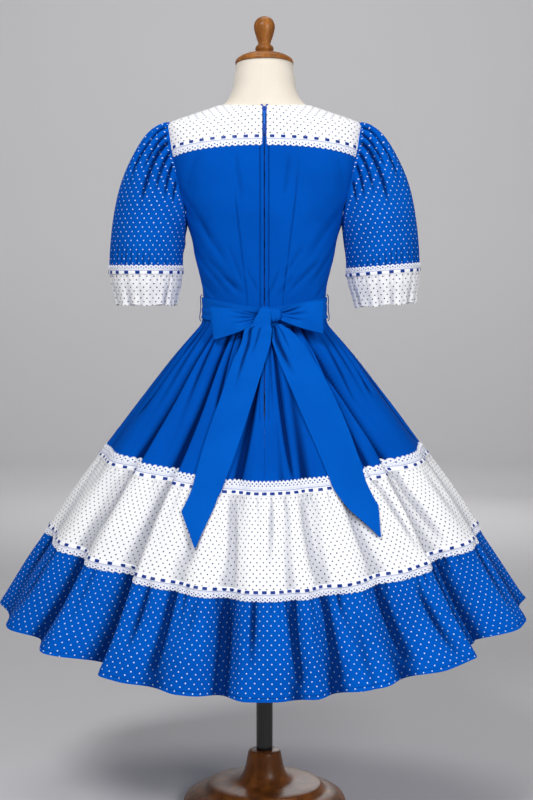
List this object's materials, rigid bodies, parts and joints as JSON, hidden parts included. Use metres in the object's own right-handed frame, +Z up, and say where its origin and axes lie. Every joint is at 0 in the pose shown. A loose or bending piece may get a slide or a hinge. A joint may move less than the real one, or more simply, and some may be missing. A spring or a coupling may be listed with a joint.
{
  "type": "square dance dress on a dress form",
  "caption": "Square dance dress with puffed sleeves, a tied sash, lace trims and a tiered skirt, worn by a limbless linen dress form on a pole and a round wooden base.",
  "frame": {"origin": "centre of the base's underside, on the floor", "axes": "+Z up along the pole; +Y towards the front of the dress, so the back with the zip and bow faces -Y; +X towards the wearer's right"},
  "size_m": [1.0885, 0.8175, 1.6194],
  "materials": {
    "blue": "plain woven cotton, matt with a soft sheen",
    "blue_dot": "woven cotton with small white dots",
    "white_dot": "woven cotton with small dark dots",
    "lace": "cotton lace edging",
    "linen": "linen stretched over a firm torso",
    "wood": "turned and varnished",
    "pole": "satin black",
    "zip": "lacquered, matt"
  },
  "bodies": {
    "dress_on_form": {"belt": "blue", "belt_loop_left": "blue", "belt_loop_right": "blue", "bodice_back_left": "blue", "bodice_back_right": "blue", "bodice_front": "blue", "bow_knot": "blue", "bow_loop_left": "blue", "bow_loop_right": "blue", "bow_tail_left": "blue", "bow_tail_right": "blue", "cuff_left": "white_dot", "cuff_right": "white_dot", "flounce_back": "blue_dot", "flounce_front": "blue_dot", "form_base": "wood", "form_finial": "wood", "form_neck_cap": "wood", "form_pole": "pole", "form_torso": "linen", "lace_cuff_left": "lace", "lace_cuff_right": "lace", "lace_skirt_lower": "lace", "lace_skirt_upper": "lace", "lace_yoke_back_left": "lace", "lace_yoke_back_right": "lace", "lace_yoke_front": "lace", "skirt_middle_back": "white_dot", "skirt_middle_front": "white_dot", "skirt_top_back_left": "blue", "skirt_top_back_right": "blue", "skirt_top_front": "blue", "sleeve_left": "blue_dot", "sleeve_right": "blue_dot", "yoke_back_left": "white_dot", "yoke_back_right": "white_dot", "yoke_front": "white_dot", "zip_slider": "zip", "zip_tape": "zip"},
    "zip_pull": {"zip_pull_tab": "zip"}
  },
  "joints": [
    {"name": "zip_pull_swing", "type": "hinge", "parent": "dress_on_form", "child": "zip_pull", "pos_m": [0, -0.07718, 1.41744], "axis": [-1, 0, 0], "range_deg": [0, 150]}
  ]
}
